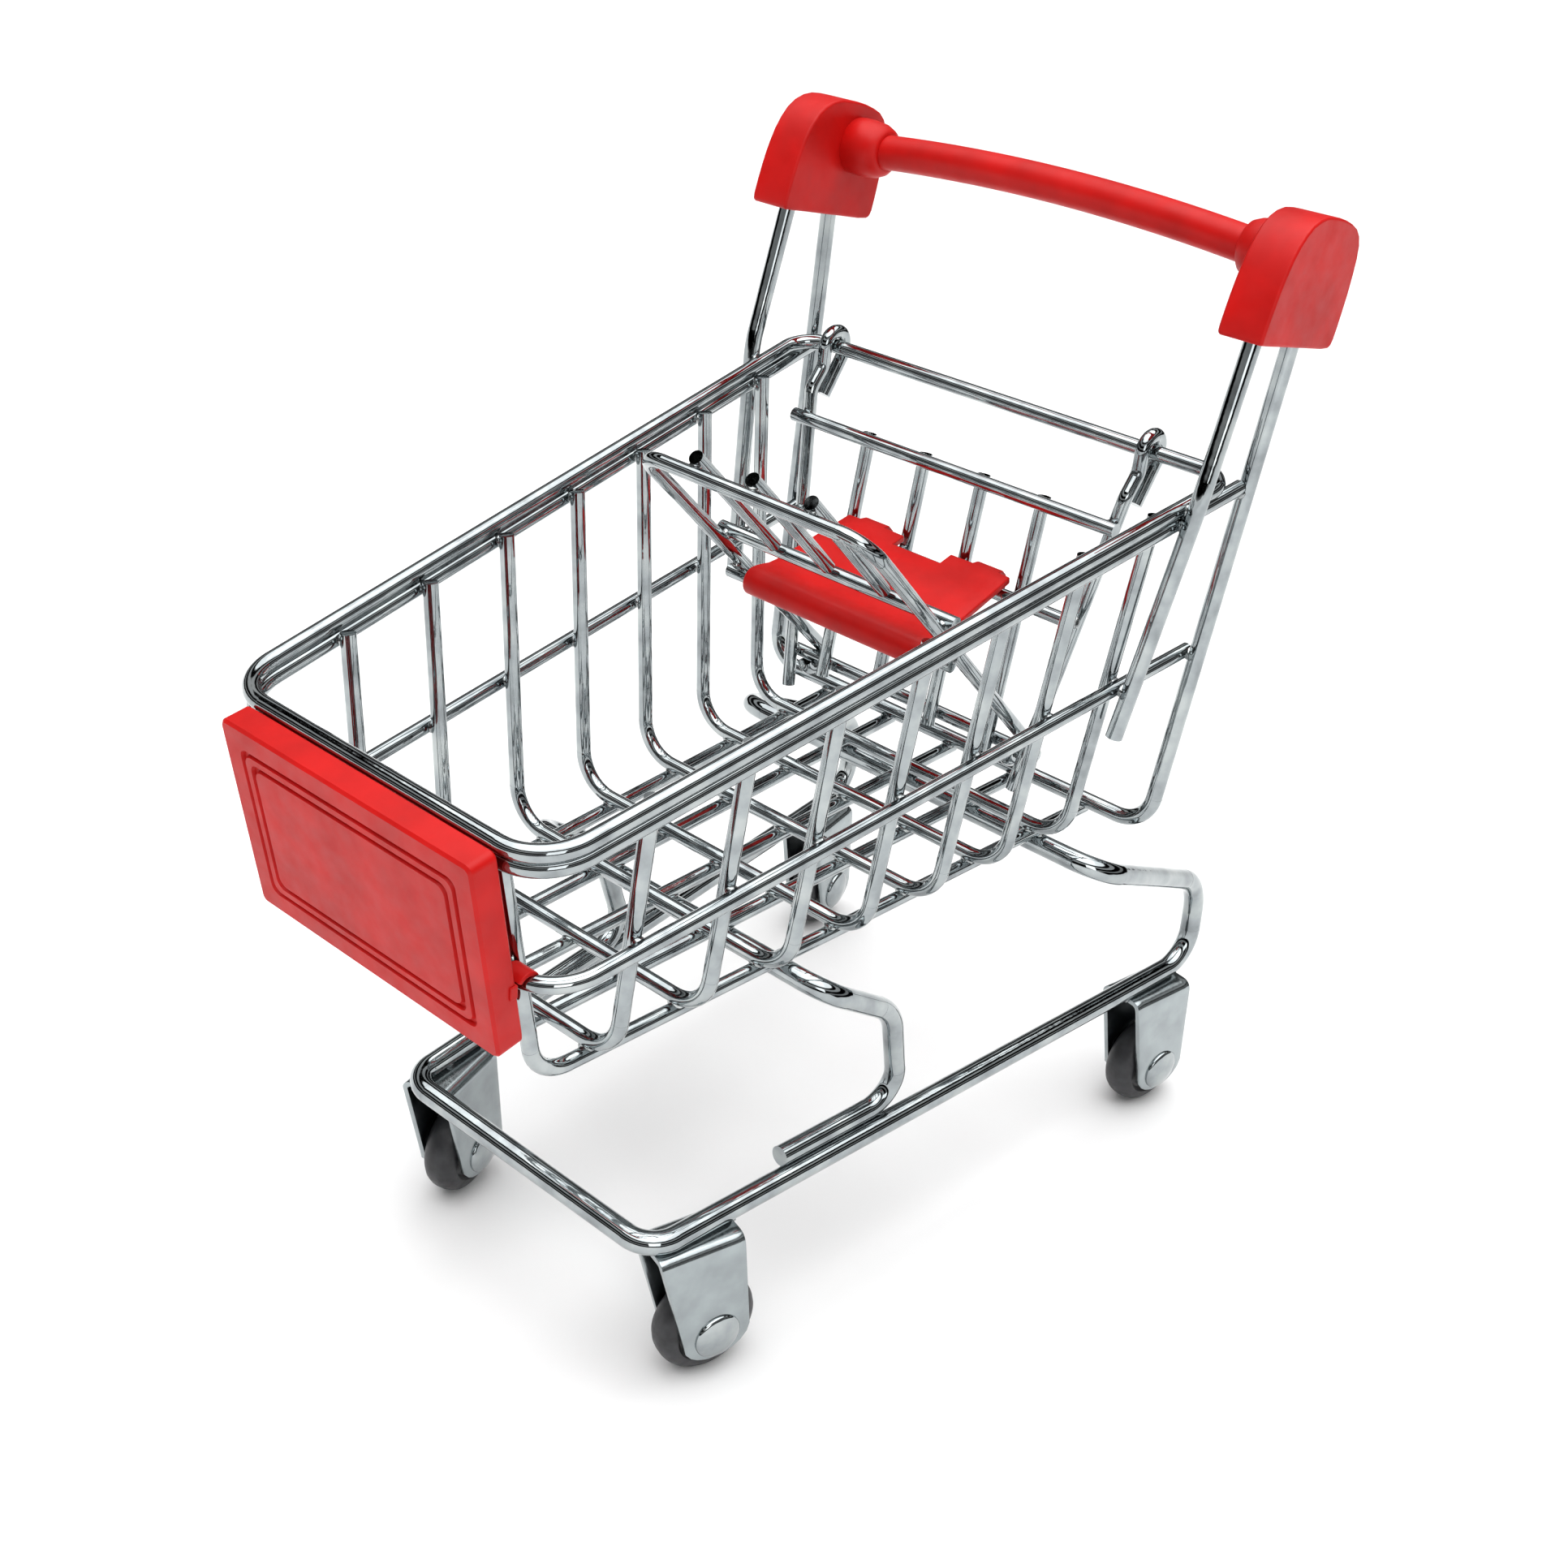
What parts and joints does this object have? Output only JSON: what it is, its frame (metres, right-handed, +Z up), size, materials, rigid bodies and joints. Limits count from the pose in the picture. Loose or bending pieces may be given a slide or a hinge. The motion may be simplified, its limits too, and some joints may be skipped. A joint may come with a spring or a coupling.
{
  "type": "miniature shopping cart",
  "caption": "Miniature desktop shopping cart of chromed wire with a hinged rear gate, folding child seat, turning wheels, red handle and red sign panel.",
  "frame": {"origin": "on the ground, under the middle of the length of the cart, on its centre plane", "axes": "+Z up, -Y towards the sign panel at the front, +Y towards the handle, +X to the right of someone looking along +Y"},
  "size_m": [0.0736, 0.1251, 0.1306],
  "materials": {
    "chrome_wire": "bright chrome plate",
    "bracket_metal": "satin plated sheet",
    "red_plastic": "glossy moulded plastic",
    "black_wheel": "satin moulded plastic"
  },
  "bodies": {
    "cart": {"chassis_wire": "chrome_wire", "middle_support": "chrome_wire", "ribs": "chrome_wire", "floor_wires": "chrome_wire", "mid_wire": "chrome_wire", "rim_lower_wire": "chrome_wire", "rim_wire": "chrome_wire", "rear_leg_wire": "chrome_wire", "front_leg_left": "chrome_wire", "front_leg_right": "chrome_wire", "handle": "red_plastic", "front_panel": "red_plastic", "bracket_fl": "bracket_metal", "bracket_fr": "bracket_metal", "bracket_rl": "bracket_metal", "bracket_rr": "bracket_metal", "axle_fl": "chrome_wire", "axle_fr": "chrome_wire", "axle_rl": "chrome_wire", "axle_rr": "chrome_wire"},
    "wheel_fl": {"wheel_fl": "black_wheel"},
    "wheel_fr": {"wheel_fr": "black_wheel"},
    "wheel_rl": {"wheel_rl": "black_wheel"},
    "wheel_rr": {"wheel_rr": "black_wheel"},
    "gate": {"gate_side_left": "chrome_wire", "gate_side_right": "chrome_wire", "gate_top_bar": "chrome_wire", "gate_mid_bar": "chrome_wire", "gate_bottom_bar": "chrome_wire", "gate_uprights": "chrome_wire"},
    "flap": {"flap_frame": "chrome_wire", "flap_upper_cross": "chrome_wire", "flap_lower_cross": "chrome_wire", "flap_inner_wires": "chrome_wire"},
    "seat": {"seat_plate": "red_plastic"}
  },
  "joints": [
    {"name": "spin_fl", "type": "hinge", "parent": "cart", "child": "wheel_fl", "pos_m": [-0.0216, -0.02821, 0.0065], "axis": [0.9613, 0.2756, 0], "continuous": true},
    {"name": "spin_fr", "type": "hinge", "parent": "cart", "child": "wheel_fr", "pos_m": [0.0216, -0.02821, 0.0065], "axis": [0.9613, -0.2756, 0], "continuous": true},
    {"name": "spin_rl", "type": "hinge", "parent": "cart", "child": "wheel_rl", "pos_m": [-0.0312, 0.05609, 0.0065], "axis": [0.9848, 0.1736, 0], "continuous": true},
    {"name": "spin_rr", "type": "hinge", "parent": "cart", "child": "wheel_rr", "pos_m": [0.0312, 0.05609, 0.0065], "axis": [0.9848, -0.1736, 0], "continuous": true},
    {"name": "gate_swing", "type": "hinge", "parent": "cart", "child": "gate", "pos_m": [-0.003, 0.04069, 0.09979], "axis": [-1, 0, 0], "range_deg": [0, 30]},
    {"name": "flap_fold", "type": "hinge", "parent": "gate", "child": "flap", "pos_m": [-0.003, 0.03369, 0.0589], "axis": [-1, 0, 0], "range_deg": [0, 12]},
    {"name": "seat_fold", "type": "hinge", "parent": "flap", "child": "seat", "pos_m": [-0.003, 0.01515, 0.0764], "axis": [1, 0, 0], "range_deg": [0, 66]}
  ],
  "couplings": [
    {"joint": "seat_fold", "follows": "flap_fold", "ratio": 5.5}
  ]
}
